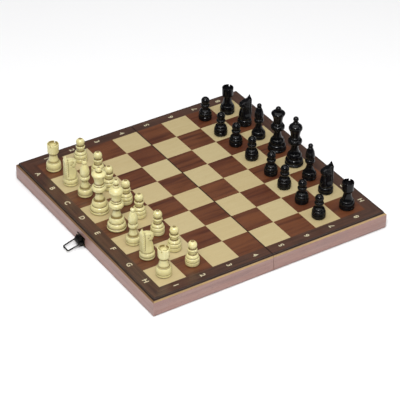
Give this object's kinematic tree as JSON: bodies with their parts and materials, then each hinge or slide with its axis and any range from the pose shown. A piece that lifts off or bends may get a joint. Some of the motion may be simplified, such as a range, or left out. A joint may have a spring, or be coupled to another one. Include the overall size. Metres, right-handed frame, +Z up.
{
  "type": "folding chess set",
  "caption": "Folding wooden chess board with veneered squares, coordinate border, wire-loop clasp and a hinged fold, with a full set of turned pieces in the starting position",
  "frame": {"origin": "On the plane of the walls' rims, at the middle of the fold between the two halves", "axes": "+Z up out of the playing surface; +X from the white side to the black side, across the fold; +Y along the fold, from the h file to the a file"},
  "size_m": [0.3929, 0.3604, 0.1018],
  "materials": {
    "boxwood": "pale yellow wood, gloss varnish",
    "black_stained_wood": "black stained wood, gloss varnish",
    "maple_veneer": "tan figured veneer, satin varnish",
    "walnut_veneer": "red-brown striped veneer, satin varnish",
    "border_veneer": "dark grey-brown veneer, satin varnish",
    "wall_wood": "pinkish brown wood, satin varnish",
    "plywood": "thin board with a dark stained edge",
    "felt": "green felt",
    "brass": "satin brass",
    "antique_metal": "dark antique finish over brass"
  },
  "bodies": {
    "white_half": {"white_half_wall_front": "wall_wood", "white_half_wall_rear": "wall_wood", "white_half_wall_outer": "wall_wood", "white_half_wall_fold": "wall_wood", "white_half_panel": "plywood", "white_half_light_squares": "maple_veneer", "white_half_dark_squares": "walnut_veneer", "white_half_border": "border_veneer", "white_half_felt_lining": "felt", "white_half_hinge_leaves": "brass", "white_half_nails": "brass", "hinge_pins": "brass", "clasp_plate": "antique_metal", "clasp_pin": "antique_metal"},
    "black_half": {"black_half_wall_front": "wall_wood", "black_half_wall_rear": "wall_wood", "black_half_wall_outer": "wall_wood", "black_half_wall_fold": "wall_wood", "black_half_panel": "plywood", "black_half_light_squares": "maple_veneer", "black_half_dark_squares": "walnut_veneer", "black_half_border": "border_veneer", "black_half_felt_lining": "felt", "black_half_hinge_leaves": "brass", "black_half_nails": "brass", "catch_plate": "antique_metal"},
    "clasp_lever": {"clasp_lever": "antique_metal"},
    "clasp_loop": {"clasp_loop": "antique_metal"},
    "white_king_body": {"white_king": "boxwood"},
    "white_queen_body": {"white_queen": "boxwood"},
    "white_bishop_c_body": {"white_bishop_c": "boxwood"},
    "white_bishop_f_body": {"white_bishop_f": "boxwood"},
    "white_knight_b_body": {"white_knight_b": "boxwood"},
    "white_knight_g_body": {"white_knight_g": "boxwood"},
    "white_rook_a_body": {"white_rook_a": "boxwood"},
    "white_rook_h_body": {"white_rook_h": "boxwood"},
    "white_pawn_h_body": {"white_pawn_h": "boxwood"},
    "white_pawn_g_body": {"white_pawn_g": "boxwood"},
    "white_pawn_f_body": {"white_pawn_f": "boxwood"},
    "white_pawn_e_body": {"white_pawn_e": "boxwood"},
    "white_pawn_d_body": {"white_pawn_d": "boxwood"},
    "white_pawn_c_body": {"white_pawn_c": "boxwood"},
    "white_pawn_b_body": {"white_pawn_b": "boxwood"},
    "white_pawn_a_body": {"white_pawn_a": "boxwood"},
    "black_king_body": {"black_king": "black_stained_wood"},
    "black_queen_body": {"black_queen": "black_stained_wood"},
    "black_bishop_c_body": {"black_bishop_c": "black_stained_wood"},
    "black_bishop_f_body": {"black_bishop_f": "black_stained_wood"},
    "black_knight_b_body": {"black_knight_b": "black_stained_wood"},
    "black_knight_g_body": {"black_knight_g": "black_stained_wood"},
    "black_rook_a_body": {"black_rook_a": "black_stained_wood"},
    "black_rook_h_body": {"black_rook_h": "black_stained_wood"},
    "black_pawn_h_body": {"black_pawn_h": "black_stained_wood"},
    "black_pawn_g_body": {"black_pawn_g": "black_stained_wood"},
    "black_pawn_f_body": {"black_pawn_f": "black_stained_wood"},
    "black_pawn_e_body": {"black_pawn_e": "black_stained_wood"},
    "black_pawn_d_body": {"black_pawn_d": "black_stained_wood"},
    "black_pawn_c_body": {"black_pawn_c": "black_stained_wood"},
    "black_pawn_b_body": {"black_pawn_b": "black_stained_wood"},
    "black_pawn_a_body": {"black_pawn_a": "black_stained_wood"}
  },
  "joints": [
    {"name": "fold", "type": "hinge", "parent": "white_half", "child": "black_half", "pos_m": [0, 0, -0.00015], "axis": [0, 1, 0], "range_deg": [0, 180]},
    {"name": "clasp_lever_turn", "type": "hinge", "parent": "white_half", "child": "clasp_lever", "pos_m": [-0.18565, 0, 0.0032], "axis": [0, -1, 0], "range_deg": [0, 95]},
    {"name": "clasp_loop_turn", "type": "hinge", "parent": "clasp_lever", "child": "clasp_loop", "pos_m": [-0.18425, 0, 0.0068], "axis": [0, 1, 0], "range_deg": [-76, 95]},
    {"name": "white_king_lift", "type": "slide", "parent": "white_half", "child": "white_king_body", "axis": [0, 0, 1], "range_m": [0, 0.12]},
    {"name": "white_queen_lift", "type": "slide", "parent": "white_half", "child": "white_queen_body", "axis": [0, 0, 1], "range_m": [0, 0.12]},
    {"name": "white_bishop_c_lift", "type": "slide", "parent": "white_half", "child": "white_bishop_c_body", "axis": [0, 0, 1], "range_m": [0, 0.12]},
    {"name": "white_bishop_f_lift", "type": "slide", "parent": "white_half", "child": "white_bishop_f_body", "axis": [0, 0, 1], "range_m": [0, 0.12]},
    {"name": "white_knight_b_lift", "type": "slide", "parent": "white_half", "child": "white_knight_b_body", "axis": [0, 0, 1], "range_m": [0, 0.12]},
    {"name": "white_knight_g_lift", "type": "slide", "parent": "white_half", "child": "white_knight_g_body", "axis": [0, 0, 1], "range_m": [0, 0.12]},
    {"name": "white_rook_a_lift", "type": "slide", "parent": "white_half", "child": "white_rook_a_body", "axis": [0, 0, 1], "range_m": [0, 0.12]},
    {"name": "white_rook_h_lift", "type": "slide", "parent": "white_half", "child": "white_rook_h_body", "axis": [0, 0, 1], "range_m": [0, 0.12]},
    {"name": "white_pawn_h_lift", "type": "slide", "parent": "white_half", "child": "white_pawn_h_body", "axis": [0, 0, 1], "range_m": [0, 0.12]},
    {"name": "white_pawn_g_lift", "type": "slide", "parent": "white_half", "child": "white_pawn_g_body", "axis": [0, 0, 1], "range_m": [0, 0.12]},
    {"name": "white_pawn_f_lift", "type": "slide", "parent": "white_half", "child": "white_pawn_f_body", "axis": [0, 0, 1], "range_m": [0, 0.12]},
    {"name": "white_pawn_e_lift", "type": "slide", "parent": "white_half", "child": "white_pawn_e_body", "axis": [0, 0, 1], "range_m": [0, 0.12]},
    {"name": "white_pawn_d_lift", "type": "slide", "parent": "white_half", "child": "white_pawn_d_body", "axis": [0, 0, 1], "range_m": [0, 0.12]},
    {"name": "white_pawn_c_lift", "type": "slide", "parent": "white_half", "child": "white_pawn_c_body", "axis": [0, 0, 1], "range_m": [0, 0.12]},
    {"name": "white_pawn_b_lift", "type": "slide", "parent": "white_half", "child": "white_pawn_b_body", "axis": [0, 0, 1], "range_m": [0, 0.12]},
    {"name": "white_pawn_a_lift", "type": "slide", "parent": "white_half", "child": "white_pawn_a_body", "axis": [0, 0, 1], "range_m": [0, 0.12]},
    {"name": "black_king_lift", "type": "slide", "parent": "black_half", "child": "black_king_body", "axis": [0, 0, 1], "range_m": [0, 0.12]},
    {"name": "black_queen_lift", "type": "slide", "parent": "black_half", "child": "black_queen_body", "axis": [0, 0, 1], "range_m": [0, 0.12]},
    {"name": "black_bishop_c_lift", "type": "slide", "parent": "black_half", "child": "black_bishop_c_body", "axis": [0, 0, 1], "range_m": [0, 0.12]},
    {"name": "black_bishop_f_lift", "type": "slide", "parent": "black_half", "child": "black_bishop_f_body", "axis": [0, 0, 1], "range_m": [0, 0.12]},
    {"name": "black_knight_b_lift", "type": "slide", "parent": "black_half", "child": "black_knight_b_body", "axis": [0, 0, 1], "range_m": [0, 0.12]},
    {"name": "black_knight_g_lift", "type": "slide", "parent": "black_half", "child": "black_knight_g_body", "axis": [0, 0, 1], "range_m": [0, 0.12]},
    {"name": "black_rook_a_lift", "type": "slide", "parent": "black_half", "child": "black_rook_a_body", "axis": [0, 0, 1], "range_m": [0, 0.12]},
    {"name": "black_rook_h_lift", "type": "slide", "parent": "black_half", "child": "black_rook_h_body", "axis": [0, 0, 1], "range_m": [0, 0.12]},
    {"name": "black_pawn_h_lift", "type": "slide", "parent": "black_half", "child": "black_pawn_h_body", "axis": [0, 0, 1], "range_m": [0, 0.12]},
    {"name": "black_pawn_g_lift", "type": "slide", "parent": "black_half", "child": "black_pawn_g_body", "axis": [0, 0, 1], "range_m": [0, 0.12]},
    {"name": "black_pawn_f_lift", "type": "slide", "parent": "black_half", "child": "black_pawn_f_body", "axis": [0, 0, 1], "range_m": [0, 0.12]},
    {"name": "black_pawn_e_lift", "type": "slide", "parent": "black_half", "child": "black_pawn_e_body", "axis": [0, 0, 1], "range_m": [0, 0.12]},
    {"name": "black_pawn_d_lift", "type": "slide", "parent": "black_half", "child": "black_pawn_d_body", "axis": [0, 0, 1], "range_m": [0, 0.12]},
    {"name": "black_pawn_c_lift", "type": "slide", "parent": "black_half", "child": "black_pawn_c_body", "axis": [0, 0, 1], "range_m": [0, 0.12]},
    {"name": "black_pawn_b_lift", "type": "slide", "parent": "black_half", "child": "black_pawn_b_body", "axis": [0, 0, 1], "range_m": [0, 0.12]},
    {"name": "black_pawn_a_lift", "type": "slide", "parent": "black_half", "child": "black_pawn_a_body", "axis": [0, 0, 1], "range_m": [0, 0.12]}
  ]
}
